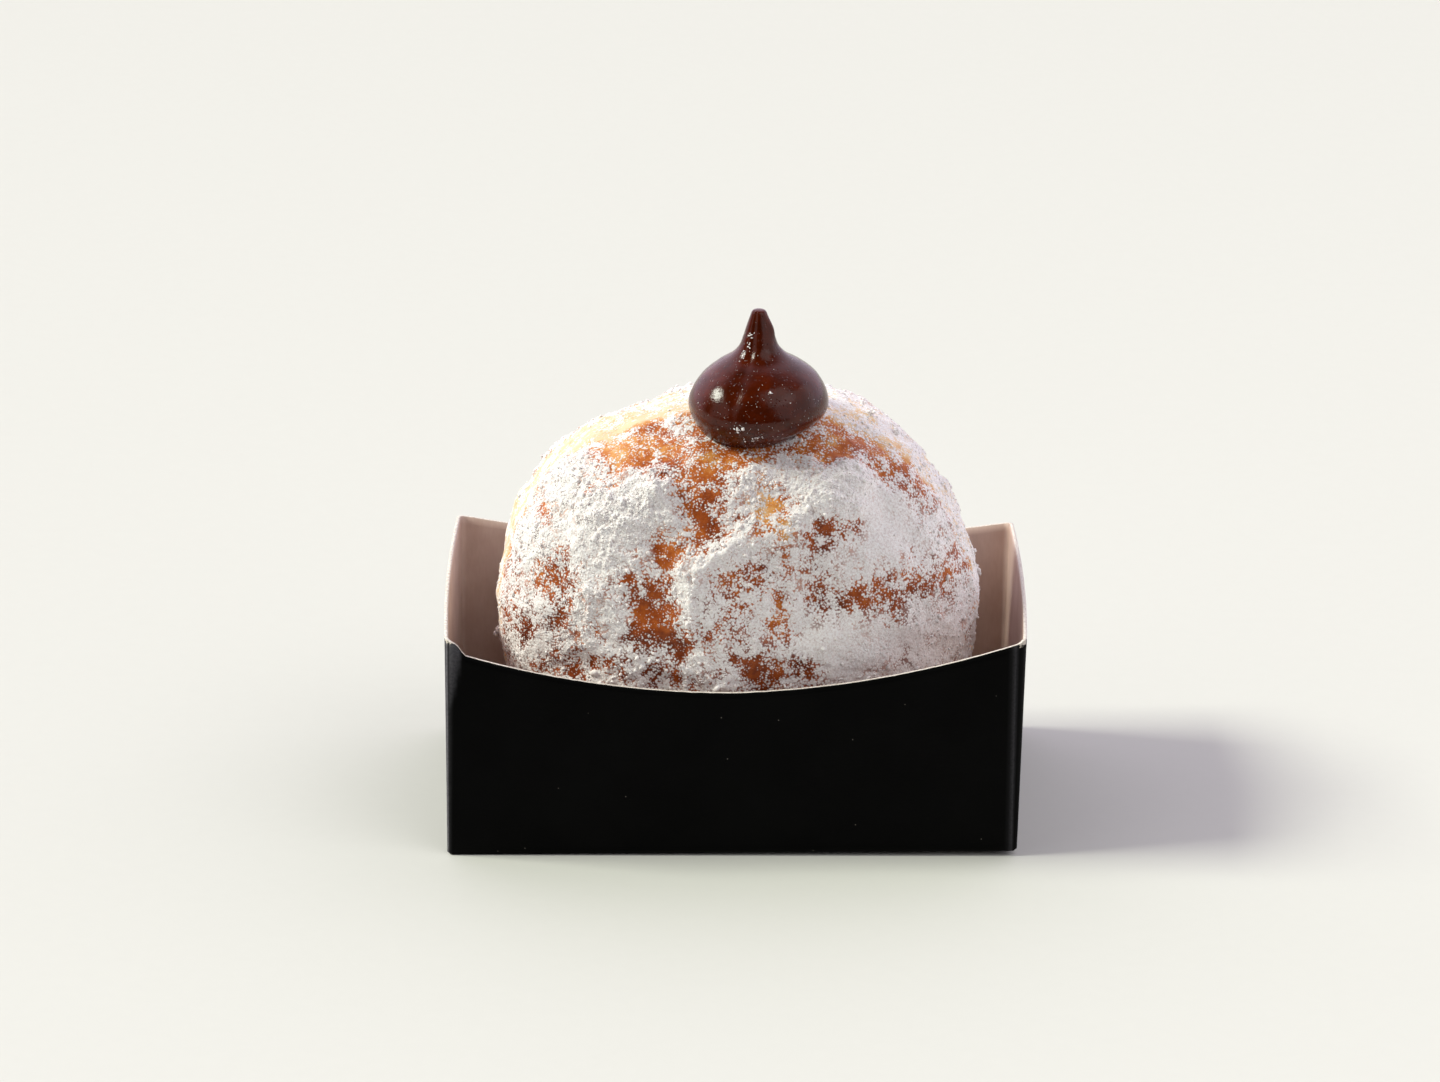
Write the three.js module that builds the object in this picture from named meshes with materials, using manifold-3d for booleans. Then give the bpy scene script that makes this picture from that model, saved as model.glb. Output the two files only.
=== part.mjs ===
// A round filled doughnut standing on its edge in a small open card tray, with a piped drop of
// chocolate hazelnut cream over the hole that it was filled through.
// Millimetres, +Z up. The origin is on the table, under the middle of the tray. The front is -Y.
import * as THREE from "three";
import { mergeVertices } from "three/addons/utils/BufferGeometryUtils.js";
import Module from "manifold-3d";

// Tray: one blank of thin board, folded up
const trayLength = 100;
const trayDepth = 64;
const trayHeight = 40.1;
const trayShiftX = -0.54;
const boardThickness = 0.6;
const footChamfer = 0.45;
const foldRadiusAtFoot = 1.0;
const foldRadiusAtRim = 1.8;
// The right wall leans out at the rim, and both side walls bulge between their folds
const rightWallLean = 1.1;
const sideWallBulge = 0.8;
// The long walls are cut in an arc between the folds, deeper in front, where the rim also drops at once
// beside the left fold and sags evenly towards the middle from the right one
const frontArcDip = 7.9;
const frontSag = 1.7;
const leftDropLength = 2.0;
const backArcDip = 4.3;
// The corners don't stand quite level
const cornerRise = { frontLeft: 0, frontRight: 0, backLeft: 1.0, backRight: -0.2 };
const longWallSteps = 24;
const shortWallSteps = 8;
const foldSteps = 4;
const wallLevels = 5;

// Doughnut: a ball flattened from front to back, with its browned faces in front and behind
const doughnutCentre = new THREE.Vector3(0.3, 0, 36.8);
const halfWidth = 42.4;
const halfThickness = 29.3;
const heightAboveCentre = 38.8;
const depthBelowCentre = 40;
const roundnessOfFace = 2.22;
const roundnessOfEdge = 2.25;
const restingGap = 0.3;
const doughnutDetail = 17;
// Broad swells and smaller lumps of the risen dough
const swells = { wavelength: 19, height: 0.25, waves: 14, start: 0.3 };
const lumps = { wavelength: 7.5, height: 0.16, waves: 22, start: 1.1 };
// The waves of a mix differ in length and phase, in even steps, so that they never run alike
const shortestShare = 0.75;
const shareRange = 0.5;
const shareStep = 0.618;
const phaseStep = 7.3;
// Forms made by hand and by frying: places are from the doughnut's centre
const forms = [
  { name: "flattened front, right of the ridge", at: [11, -28, 7], reach: 13, height: -1.3 },
  { name: "flattened right shoulder", at: [27, -19, 21], reach: 10, height: -0.7 },
  { name: "full left cheek", at: [-32, -20, -2], reach: 14, height: 0.9 },
  { name: "dent left of the middle", at: [-14, -27, 12], reach: 5, height: -0.7 },
  { name: "hollow low on the front", at: [5, -29, -5], reach: 5, height: -0.6 },
  { name: "pore in the crust", at: [7.5, -28.5, 10.2], reach: 1.8, height: -0.7 },
  { name: "hollow round the filling hole", at: [3, -9, 37.5], reach: 10, height: -1.0 },
  { name: "low shoulder left of the hole", at: [-19, 3, 34], reach: 11, height: -1.5 },
  { name: "full shoulder right of the hole", at: [20, 7, 34.5], reach: 8, height: 0.7 },
  { name: "flattened right rim", at: [38, 2, 21], reach: 10, height: -0.8 },
  { name: "flat on the back where it lay", at: [-4, 29, 2], reach: 15, height: -1.0 },
];
const ridge = {
  path: [[-8.3, -28.9, 3], [-8, -27.4, 15], [0, -26.5, 19], [10.4, -24.4, 22.6], [19, -17.3, 29.4]],
  reach: 3.2,
  height: 0.9,
};

// Chocolate drop: piped from above, then drawn up to a point
const dropAxis = new THREE.Vector2(4.0, -9);
const dropWidestHeight = 76.5;
// Radius and height from the widest ring, up the side from the underside to the point
const dropProfile = [
  [0, -8.8], [2.8, -8.3], [5.6, -7.1], [8.3, -5.4], [10.6, -3.3], [11.9, -1.4], [12.2, 0.3], [11.8, 2.0],
  [11.0, 3.7], [9.8, 5.3], [7.6, 7.0], [5.2, 8.4], [3.6, 10.0], [2.8, 11.8], [2.2, 13.7], [1.6, 15.5],
  [1.1, 16.6], [0, 16.8],
];
const dropRings = 36;
const dropSteps = 32;
// The cream folded over itself: a soft crease runs down the front, left of the middle
const creaseTurn = THREE.MathUtils.degToRad(-112);
const creaseWidth = 0.2;
const creaseDepth = 0.07;
const leftLobeTurn = THREE.MathUtils.degToRad(-140);
const leftLobeSwell = 0.04;
const leftLobeWidth = 0.5;
const pointShift = new THREE.Vector2(0, 0.2);
const undersideShift = new THREE.Vector2(-3.4, -0.3);
const gapUnderDrop = 0.35;

const goldenAngle = Math.PI * (3 - Math.sqrt(5));

const blackCard = new THREE.MeshStandardMaterial({ color: 0x0b0b0c, roughness: 0.42, metalness: 0 });
const sugaredCrust = new THREE.MeshStandardMaterial({ color: 0xd9c3b4, roughness: 0.9, metalness: 0 });
const hazelnutChocolate = new THREE.MeshStandardMaterial({ color: 0x3b1409, roughness: 0.22, metalness: 0 });

// A closed surface through rings that all have as many points, from a first pole to a last one
function closedSkin(firstPole, rings, lastPole) {
  const steps = rings[0].length;
  const points = [firstPole, ...rings.flat(), lastPole];
  const at = (ring, step) => 1 + ring * steps + (step % steps);
  const faces = [];
  for (let step = 0; step < steps; step++) {
    faces.push(0, at(0, step + 1), at(0, step));
    for (let ring = 0; ring < rings.length - 1; ring++) {
      faces.push(at(ring, step), at(ring, step + 1), at(ring + 1, step + 1));
      faces.push(at(ring, step), at(ring + 1, step + 1), at(ring + 1, step));
    }
    faces.push(at(rings.length - 1, step), at(rings.length - 1, step + 1), points.length - 1);
  }
  const geometry = new THREE.BufferGeometry().setFromPoints(points);
  geometry.setIndex(faces);
  return geometry;
}

// Plan of the tray's wall: a rectangle with rounded corners, anticlockwise from the front left
function roundedRectangle(halfX, halfY, radius) {
  const corners = [[-1, -1], [1, -1], [1, 1], [-1, 1]];
  const straightSteps = [longWallSteps, shortWallSteps, longWallSteps, shortWallSteps];
  const outline = [];
  corners.forEach(([signX, signY], corner) => {
    const firstTurn = Math.PI * (1 + corner / 2);
    const centre = new THREE.Vector2(signX * (halfX - radius), signY * (halfY - radius));
    for (let step = 0; step <= foldSteps; step++) {
      const turn = firstTurn + (step / foldSteps) * (Math.PI / 2);
      outline.push(new THREE.Vector2(Math.cos(turn), Math.sin(turn)).multiplyScalar(radius).add(centre));
    }
    const [nextX, nextY] = corners[(corner + 1) % 4];
    const nextCentre = new THREE.Vector2(nextX * (halfX - radius), nextY * (halfY - radius));
    const start = outline[outline.length - 1];
    const end = start.clone().sub(centre).add(nextCentre);
    for (let step = 1; step < straightSteps[corner]; step++) {
      outline.push(start.clone().lerp(end, step / straightSteps[corner]));
    }
  });
  return outline;
}

// Height of the cut rim above a point of the plan
function rimHeight(plan) {
  const across = plan.x / (trayLength / 2);
  const along = plan.y / (trayDepth / 2);
  const { frontLeft, frontRight, backLeft, backRight } = cornerRise;
  const front = THREE.MathUtils.lerp(frontLeft, frontRight, (across + 1) / 2);
  const back = THREE.MathUtils.lerp(backLeft, backRight, (across + 1) / 2);
  const level = trayHeight + THREE.MathUtils.lerp(front, back, (along + 1) / 2);
  const pastFold = THREE.MathUtils.smoothstep(Math.abs(plan.y), trayDepth / 2 - foldRadiusAtRim, trayDepth / 2);
  const arc = 1 - across * across;
  if (plan.y > 0) {
    return level - pastFold * backArcDip * arc;
  }
  const fromLeftFold = trayLength / 2 - foldRadiusAtRim + plan.x;
  const sag = plan.x < 0 ? THREE.MathUtils.smoothstep(fromLeftFold, 0, leftDropLength) : 1 - across;
  return level - pastFold * (frontArcDip * arc + frontSag * sag);
}

// A ring of the wall. heightAt gives each point's height, and inset moves it in from the outer face
function wallRing(heightAt, inset) {
  const rimPlan = roundedRectangle(trayLength / 2, trayDepth / 2, foldRadiusAtRim);
  return rimPlan.map((station, index) => {
    const height = heightAt(station);
    const rise = height / trayHeight;
    const radius = THREE.MathUtils.lerp(foldRadiusAtFoot, foldRadiusAtRim, rise);
    const plan = roundedRectangle(trayLength / 2 - inset, trayDepth / 2 - inset, radius - inset)[index];
    const across = plan.x / (trayLength / 2);
    const along = plan.y / (trayDepth / 2);
    const lean = Math.max(across, 0) * rightWallLean * rise;
    const bulge = across * sideWallBulge * rise * (1 - along * along);
    return new THREE.Vector3(plan.x + lean + bulge + trayShiftX, plan.y, height);
  });
}

function makeTray() {
  const rings = [wallRing(() => 0, footChamfer)];
  for (let level = 0; level <= wallLevels; level++) {
    const share = level / wallLevels;
    rings.push(wallRing((station) => THREE.MathUtils.lerp(footChamfer, rimHeight(station), share), 0));
  }
  for (let level = wallLevels; level >= 0; level--) {
    const share = level / wallLevels;
    const height = (station) => THREE.MathUtils.lerp(boardThickness, rimHeight(station), share);
    rings.push(wallRing(height, boardThickness));
  }
  const under = new THREE.Vector3(trayShiftX, 0, 0);
  const floor = new THREE.Vector3(trayShiftX, 0, boardThickness);
  return closedSkin(under, rings, floor);
}

// A mix of sine waves that run in evenly spread directions, about -1 to 1
function waveMix(point, { wavelength, waves, start }) {
  let sum = 0;
  for (let wave = 0; wave < waves; wave++) {
    const up = 1 - (2 * wave + 1) / waves;
    const level = Math.sqrt(1 - up * up);
    const turn = wave * goldenAngle + start;
    const along = point.x * level * Math.cos(turn) + point.y * level * Math.sin(turn) + point.z * up;
    const length = wavelength * (shortestShare + shareRange * ((wave * shareStep + start) % 1));
    sum += Math.sin((2 * Math.PI * along) / length + phaseStep * wave + start);
  }
  return sum * Math.sqrt(2 / waves);
}

// Height of the relief at a point of the plain body
function relief(point) {
  let height = swells.height * waveMix(point, swells) + lumps.height * waveMix(point, lumps);
  for (const form of forms) {
    const distance = point.distanceTo(new THREE.Vector3(...form.at));
    height += form.height * Math.exp(-((distance / form.reach) ** 2));
  }
  const nearest = new THREE.Vector3();
  let ridgeDistance = Infinity;
  for (let piece = 0; piece < ridge.path.length - 1; piece++) {
    const ends = ridge.path.slice(piece, piece + 2).map((place) => new THREE.Vector3(...place));
    new THREE.Line3(...ends).closestPointToPoint(point, true, nearest);
    ridgeDistance = Math.min(ridgeDistance, point.distanceTo(nearest));
  }
  return height + ridge.height * Math.exp(-((ridgeDistance / ridge.reach) ** 2));
}

// Distance from the centre to the plain body in a direction
function plainRadius(direction) {
  const halfHeight = direction.z > 0 ? heightAboveCentre : depthBelowCentre;
  const faceX = Math.abs(direction.x / halfWidth) ** roundnessOfFace;
  const faceZ = Math.abs(direction.z / halfHeight) ** roundnessOfFace;
  const face = (faceX + faceZ) ** (roundnessOfEdge / roundnessOfFace);
  const edge = Math.abs(direction.y / halfThickness) ** roundnessOfEdge;
  return (face + edge) ** (-1 / roundnessOfEdge);
}

function makeDoughnut(growth = 0) {
  const ball = new THREE.IcosahedronGeometry(1, doughnutDetail);
  ball.deleteAttribute("normal");
  ball.deleteAttribute("uv");
  const geometry = mergeVertices(ball, 1e-5);
  const place = geometry.getAttribute("position");
  const lowest = boardThickness + restingGap;
  for (let index = 0; index < place.count; index++) {
    const direction = new THREE.Vector3().fromBufferAttribute(place, index).normalize();
    const point = direction.clone().multiplyScalar(plainRadius(direction));
    point.addScaledVector(direction, relief(point) + growth).add(doughnutCentre);
    place.setXYZ(index, point.x, point.y, Math.max(point.z, lowest));
  }
  return geometry;
}

function makeWholeDrop() {
  const side = new THREE.SplineCurve(dropProfile.map(([radius, height]) => new THREE.Vector2(radius, height)));
  const top = dropProfile[dropProfile.length - 1][1];
  const bottom = dropProfile[0][1];
  const axisAt = (height) => {
    const shift = height > 0
      ? pointShift.clone().multiplyScalar((height / top) ** 2)
      : undersideShift.clone().multiplyScalar((height / bottom) ** 2);
    return shift.add(dropAxis);
  };
  const rings = [];
  for (let ring = 1; ring < dropRings; ring++) {
    const { x: radius, y: height } = side.getPointAt(ring / dropRings);
    const axis = axisAt(height);
    const points = [];
    for (let step = 0; step < dropSteps; step++) {
      const turn = (step / dropSteps) * 2 * Math.PI - Math.PI;
      const crease = creaseDepth * Math.exp(-(((turn - creaseTurn) / creaseWidth) ** 2));
      const lobe = leftLobeSwell * Math.exp(-(((turn - leftLobeTurn) / leftLobeWidth) ** 2));
      const reach = radius * (1 - crease + lobe);
      points.push(new THREE.Vector3(
        axis.x + reach * Math.cos(turn),
        axis.y + reach * Math.sin(turn),
        dropWidestHeight + height,
      ));
    }
    rings.push(points);
  }
  const under = new THREE.Vector3(axisAt(bottom).x, axisAt(bottom).y, dropWidestHeight + bottom);
  const point = new THREE.Vector3(axisAt(top).x, axisAt(top).y, dropWidestHeight + top);
  return closedSkin(under, rings, point);
}

const wasm = await Module();
wasm.setup();

function toSolid(geometry) {
  return new wasm.Manifold(new wasm.Mesh({
    numProp: 3,
    vertProperties: new Float32Array(geometry.getAttribute("position").array),
    triVerts: new Uint32Array(geometry.getIndex().array),
  }));
}

// The drop lies on the crust: what would sink into it is cut away, and only the largest piece is kept
function makeDrop() {
  const cut = toSolid(makeWholeDrop()).subtract(toSolid(makeDoughnut(gapUnderDrop)));
  const [drop] = cut.decompose().sort((one, other) => other.volume() - one.volume());
  const { vertProperties, triVerts } = drop.getMesh();
  const geometry = new THREE.BufferGeometry();
  geometry.setAttribute("position", new THREE.BufferAttribute(vertProperties, 3));
  geometry.setIndex(new THREE.BufferAttribute(triVerts, 1));
  return geometry;
}

function namedMesh(name, geometry, material) {
  geometry.computeVertexNormals();
  const mesh = new THREE.Mesh(geometry, material);
  mesh.name = name;
  return mesh;
}

const group = new THREE.Group();
group.add(namedMesh("card_tray", makeTray(), blackCard));
group.add(namedMesh("doughnut", makeDoughnut(), sugaredCrust));
group.add(namedMesh("chocolate_drop", makeDrop(), hazelnutChocolate));

export default group;
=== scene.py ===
"""The looks of a sugared, filled doughnut that stands on its edge in an open card tray.

Shapes are worked out in millimetres, +Z up, with the viewer at -Y, and turned to metres when a mesh
is made. Places on the doughnut are counted from its middle.
"""

import math
from itertools import product

import bpy
import numpy as np
from mathutils import Matrix, Vector


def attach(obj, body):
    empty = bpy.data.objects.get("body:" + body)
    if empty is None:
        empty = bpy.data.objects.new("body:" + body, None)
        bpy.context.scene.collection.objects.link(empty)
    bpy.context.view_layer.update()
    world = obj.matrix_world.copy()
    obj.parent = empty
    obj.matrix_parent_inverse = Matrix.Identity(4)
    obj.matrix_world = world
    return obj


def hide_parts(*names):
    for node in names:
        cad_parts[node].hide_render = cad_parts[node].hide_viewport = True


MM = 0.001
GOLDEN_ANGLE = math.pi * (3 - math.sqrt(5))

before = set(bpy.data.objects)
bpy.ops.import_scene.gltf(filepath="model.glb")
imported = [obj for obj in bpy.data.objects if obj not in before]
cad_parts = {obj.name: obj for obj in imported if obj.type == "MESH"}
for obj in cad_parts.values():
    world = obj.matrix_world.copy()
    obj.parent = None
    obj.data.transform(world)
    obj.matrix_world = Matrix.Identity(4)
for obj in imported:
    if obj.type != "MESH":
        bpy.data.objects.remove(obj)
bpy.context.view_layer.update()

# Camera: the photo's view, from a little above and far away
LENS = 176
CAMERA_DISTANCE = 1250
CAMERA_ELEVATION = 19.5
CAMERA_ROLL = 0.1
CAMERA_TARGET = (-2.74, 0, 47.3)

# Tray
TRAY_LENGTH = 100
TRAY_DEPTH = 64
TRAY_HEIGHT = 40.1
TRAY_SHIFT_X = -0.54
BOARD = 0.6
FOOT_CHAMFER = 0.45
FOLD_AT_FOOT = 1.0
FOLD_AT_RIM = 1.8
RIGHT_WALL_LEAN = 1.1
SIDE_WALL_BULGE = 0.8
FRONT_ARC_DIP = 7.9
FRONT_SAG = 1.7
LEFT_DROP_LENGTH = 2.0
BACK_ARC_DIP = 4.3
# The foot of the front wall rises a little to the right, where the corner stands off the table
FOOT_LIFT = 0.85
FOOT_LIFT_DEPTH = 22
# The middle of the floor stays flat, out to this share of its length and depth
FLAT_FLOOR_SHARE = 0.55
# How far the rim's corners stand above the height of the tray
CORNER_RISE = {"front_left": 0, "front_right": 0, "back_left": 1.0, "back_right": -0.2}

# Doughnut
MIDDLE = np.array((0.3, 0, 36.8))
HALF_WIDTH = 42.4
HALF_THICKNESS = 29.3
HEIGHT_ABOVE = 38.8
DEPTH_BELOW = 40
FACE_ROUNDNESS = 2.22
EDGE_ROUNDNESS = 2.25
RESTING_GAP = 0.3
SWELLS = {"wavelength": 19, "height": 0.25, "waves": 14, "start": 0.3}
LUMPS = {"wavelength": 7.5, "height": 0.16, "waves": 22, "start": 1.1}
# The waves of a mix differ in length and phase, in even steps, so that they never run alike
SHORTEST_SHARE = 0.75
SHARE_RANGE = 0.5
SHARE_STEP = 0.618
PHASE_STEP = 7.3
# Place, reach and height of the forms made by hand and by frying
FORMS = {
    "flattened front, right of the ridge": ((11, -28, 7), 13, -1.3),
    "flattened right shoulder": ((27, -19, 21), 10, -0.7),
    "full left cheek": ((-32, -20, -2), 14, 0.9),
    "dent left of the middle": ((-14, -27, 12), 5, -0.7),
    "hollow low on the front": ((5, -29, -5), 5, -0.6),
    "pore in the crust": ((7.5, -28.5, 10.2), 1.8, -0.7),
    "hollow round the filling hole": ((3, -9, 37.5), 10, -1.0),
    "low shoulder left of the hole": ((-19, 3, 34), 11, -1.5),
    "full shoulder right of the hole": ((20, 7, 34.5), 8, 0.7),
    "flattened right rim": ((38, 2, 21), 10, -0.8),
    "flat on the back where it lay": ((-4, 29, 2), 15, -1.0),
}
RIDGE_PATH = ((-8.3, -28.9, 3), (-8, -27.4, 15), (0, -26.5, 19), (10.4, -24.4, 22.6), (19, -17.3, 29.4))
RIDGE_REACH = 3.2
RIDGE_HEIGHT = 0.9

# Chocolate drop
DROP_AXIS = np.array((4.0, -9.0))
DROP_WIDEST_HEIGHT = 76.5
DROP_PROFILE = (
    (0, -8.8), (2.8, -8.3), (5.6, -7.1), (8.3, -5.4), (10.6, -3.3), (11.9, -1.4), (12.2, 0.3), (11.8, 2.0),
    (11.0, 3.7), (9.8, 5.3), (7.6, 7.0), (5.2, 8.4), (3.6, 10.0), (2.8, 11.8), (2.2, 13.7), (1.6, 15.5),
    (1.1, 16.6), (0, 16.8),
)
CREASE_TURN = math.radians(-112)
CREASE_WIDTH = 0.2
CREASE_DEPTH = 0.07
LEFT_LOBE_TURN = math.radians(-140)
LEFT_LOBE_SWELL = 0.04
LEFT_LOBE_WIDTH = 0.5
POINT_SHIFT = np.array((0, 0.2))
UNDERSIDE_SHIFT = np.array((-3.4, -0.3))


# Number helpers

def smoothstep(value, low, high):
    """0 up to low, 1 from high on, and a soft step between them."""
    share = np.clip((value - low) / (high - low), 0, 1)
    return share * share * (3 - 2 * share)


def mix(one, other, share):
    """The first value, moved toward the other by a share."""
    return one + (other - one) * share


def unit(vectors):
    """The vectors at length 1."""
    return vectors / np.linalg.norm(vectors, axis=-1, keepdims=True)


# Large odd numbers that scatter a cell's place and seed into a key that looks random
CELL_PRIMES = np.array((73856093, 19349663, 83492791))
SEED_PRIME = 7919
KEY_PRIMES = (1274126177, 668265263)
SEED_SHIFT = 17.31
GRAIN_GAIN = 1.6


def grain(points, size, seed=0):
    """Smooth noise, about -1 to 1, whose bumps are one size across."""
    place = points / size + seed * SEED_SHIFT
    cell = np.floor(place).astype(np.int64)
    part = place - cell
    fade = part ** 3 * (part * (part * 6 - 15) + 10)
    total = np.zeros(len(points))
    for corner in product((0, 1), repeat=3):
        key = (cell + corner) @ CELL_PRIMES + seed * SEED_PRIME
        key = ((key ^ (key >> 13)) * KEY_PRIMES[0]) & 0x7FFFFFFF
        key = ((key ^ (key >> 15)) * KEY_PRIMES[1]) & 0x7FFFFFFF
        turn = (key & 0xFFFF) / 0x10000 * 2 * math.pi
        up = (key >> 16) / 0x8000 * 2 - 1
        level = np.sqrt(np.maximum(1 - up * up, 0))
        way = part - corner
        slope = way[:, 0] * level * np.cos(turn) + way[:, 1] * level * np.sin(turn) + way[:, 2] * up
        share = np.where(corner, fade, 1 - fade).prod(axis=1)
        total += share * slope
    return total * GRAIN_GAIN


def grain_mix(points, *layers):
    """Sum of smooth noises, each given as its strength, its size in millimetres and its seed."""
    return sum(strength * grain(points, size, seed) for strength, size, seed in layers)


def wave_mix(points, wavelength, height, waves, start):
    """A mix of sine waves that run in evenly spread directions, about as high as height."""
    total = np.zeros(len(points))
    for wave in range(waves):
        up = 1 - (2 * wave + 1) / waves
        level = math.sqrt(1 - up * up)
        turn = wave * GOLDEN_ANGLE + start
        along = points @ np.array((level * math.cos(turn), level * math.sin(turn), up))
        length = wavelength * (SHORTEST_SHARE + SHARE_RANGE * ((wave * SHARE_STEP + start) % 1))
        total += np.sin(2 * math.pi * along / length + PHASE_STEP * wave + start)
    return height * (total * math.sqrt(2 / waves))


def distance_to_path(points, path):
    """Distance of each point to the nearest place on a path of straight pieces."""
    nearest = np.full(len(points), np.inf)
    for start, end in zip(np.array(path[:-1], float), np.array(path[1:], float)):
        way = end - start
        share = np.clip((points - start) @ way / (way @ way), 0, 1)
        nearest = np.minimum(nearest, np.linalg.norm(points - start - share[:, None] * way, axis=1))
    return nearest


def near(points, place, reach):
    """1 at a place, falling off to 0 past its reach."""
    return np.exp(-(np.linalg.norm(points - np.array(place, float), axis=1) / reach) ** 2)


# Mesh helpers

def add_mesh(name, points, faces, materials, slots=None, smooth=True, attributes=None):
    """A mesh object from points in millimetres. slots gives each face's material, as an index."""
    mesh = bpy.data.meshes.new(name)
    points = np.asarray(points, float)
    faces = np.asarray(faces)
    if faces.ndim == 2:
        corners = faces.shape[1]
        mesh.vertices.add(len(points))
        mesh.vertices.foreach_set("co", (points * MM).ravel())
        mesh.loops.add(faces.size)
        mesh.loops.foreach_set("vertex_index", faces.ravel())
        mesh.polygons.add(len(faces))
        mesh.polygons.foreach_set("loop_start", np.arange(0, faces.size, corners))
    else:
        mesh.from_pydata((points * MM).tolist(), [], faces.tolist())
    for material in materials:
        mesh.materials.append(material)
    if slots is not None:
        mesh.polygons.foreach_set("material_index", np.asarray(slots, np.int32))
    for key, values in (attributes or {}).items():
        layer = mesh.attributes.new(key, "FLOAT", "POINT")
        layer.data.foreach_set("value", np.asarray(values, np.float32))
    mesh.update(calc_edges=True)
    mesh.validate()
    mesh.polygons.foreach_set("use_smooth", np.full(len(mesh.polygons), smooth))
    piece = bpy.data.objects.new(name, mesh)
    bpy.context.scene.collection.objects.link(piece)
    return piece


def ring_faces(rings, steps):
    """Quads between rings of as many points, each ring closed on itself."""
    ring, step = np.meshgrid(np.arange(rings - 1), np.arange(steps), indexing="ij")
    ring, step = ring.ravel(), step.ravel()
    after = (step + 1) % steps
    here, above = ring * steps, (ring + 1) * steps
    return np.stack([here + step, here + after, above + after, above + step], axis=1)


# Materials: each is named for the real one. Pattern sizes are in millimetres.

def linear(hex_colour):
    """An sRGB hex colour as a linear one with alpha."""
    parts = [int(hex_colour[index:index + 2], 16) / 255 for index in (1, 3, 5)]
    parts = [part / 12.92 if part <= 0.04045 else ((part + 0.055) / 1.055) ** 2.4 for part in parts]
    return (*parts, 1)


def add_node(tree, kind, inputs=None, output=0, stops=None, **settings):
    """Add a node with its settings, fill or link its inputs, and return one of its outputs. stops are
    the places and hex colours of a colour ramp."""
    node = tree.nodes.new("ShaderNode" + kind)
    for setting, value in settings.items():
        setattr(node, setting, value)
    if stops:
        band = node.color_ramp.elements
        band[0].position, band[1].position = stops[0][0], stops[-1][0]
        for stop in stops[1:-1]:
            band.new(stop[0])
        for element, stop in zip(band, stops):
            element.color = linear(stop[1])
    for key, value in (inputs or {}).items():
        if isinstance(value, bpy.types.NodeSocket):
            tree.links.new(value, node.inputs[key])
        else:
            node.inputs[key].default_value = value
    return node.outputs[output] if len(node.outputs) else None


# Sockets of a colour Mix node: the two colours that it takes, and the one that it gives
FIRST_COLOUR, SECOND_COLOUR, MIXED_COLOUR = 6, 7, 2


def start_material(name):
    """A material with an empty tree, and the place on the object in millimetres."""
    material = bpy.data.materials.new(name)
    material.use_nodes = True
    tree = material.node_tree
    tree.nodes.clear()
    place = add_node(tree, "TexCoord", output="Object")
    return material, tree, add_node(tree, "VectorMath", {0: place, "Scale": 1 / MM}, operation="SCALE")


def finish_material(tree, surface):
    """Give the surface's values and textures to the shader, and the shader to the output."""
    shader = add_node(tree, "BsdfPrincipled", surface)
    add_node(tree, "OutputMaterial", {"Surface": shader})


# Real grains are far under 0.1 mm, too fine to draw: this is the size of the small clots they form
SUGAR_GRAIN = 0.35
# The darker end of this ramp is painted shade between the clots of grains
SUGAR_SHADE_STOPS = ((0.34, "#e3dad9"), (0.5, "#f6f1ef"), (0.62, "#fefdfd"))


def icing_sugar():
    """Icing sugar, sieved on: a matt white powder, whose clots of grains break the light up, with painted
    shade between them.
    """
    material, tree, place = start_material("icing_sugar")
    inputs = {"Vector": place, "Scale": 1 / SUGAR_GRAIN, "Detail": 2, "Roughness": 0.6}
    grains = add_node(tree, "TexNoise", inputs)
    finish_material(tree, {
        "Base Color": add_node(tree, "ValToRGB", {"Fac": grains}, stops=SUGAR_SHADE_STOPS),
        "Normal": add_node(tree, "Bump", {"Height": grains, "Distance": 0.08 * MM, "Strength": 0.6}),
        "Roughness": 0.9,
        "IOR": 1.45,
        "Specular IOR Level": 0.3,
    })
    return material


DUST_FLAKE = 1.6
DUST_GRIT = 0.42
CRUST_MOTTLE = 4.0
CRUST_BLISTER = 1.2
CRUST_BUBBLE = 2.8
# The sugar's share of the surface goes from none to all between these amounts
DUST_FROM, DUST_TO = 0.3, 0.86
FLAKE_SHARE, GRIT_SHARE, BUBBLE_SHARE = 2.2, -1.3, 0.8
FLAKE_MIDDLE, GRIT_MIDDLE, BUBBLE_MIDDLE = 0.5, 0.5, 0.45
# Where much sugar lies, even the gaps between the grains are dusted
GAPS_FROM, GAPS_TO, GAPS_DUSTED = 0.65, 1.15, 0.75
GRIT_IN_HEAPS = -0.5
MOTTLE_SHARE, BLISTER_SHARE, TONE_MIDDLE = 0.7, 0.5, 0.6
CRUST_STOPS = (
    (0.05, "#ebcda2"), (0.28, "#db984f"), (0.45, "#c26a27"), (0.62, "#a44e1a"), (0.80, "#7a3410"),
    (1.0, "#552008"),
)


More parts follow.
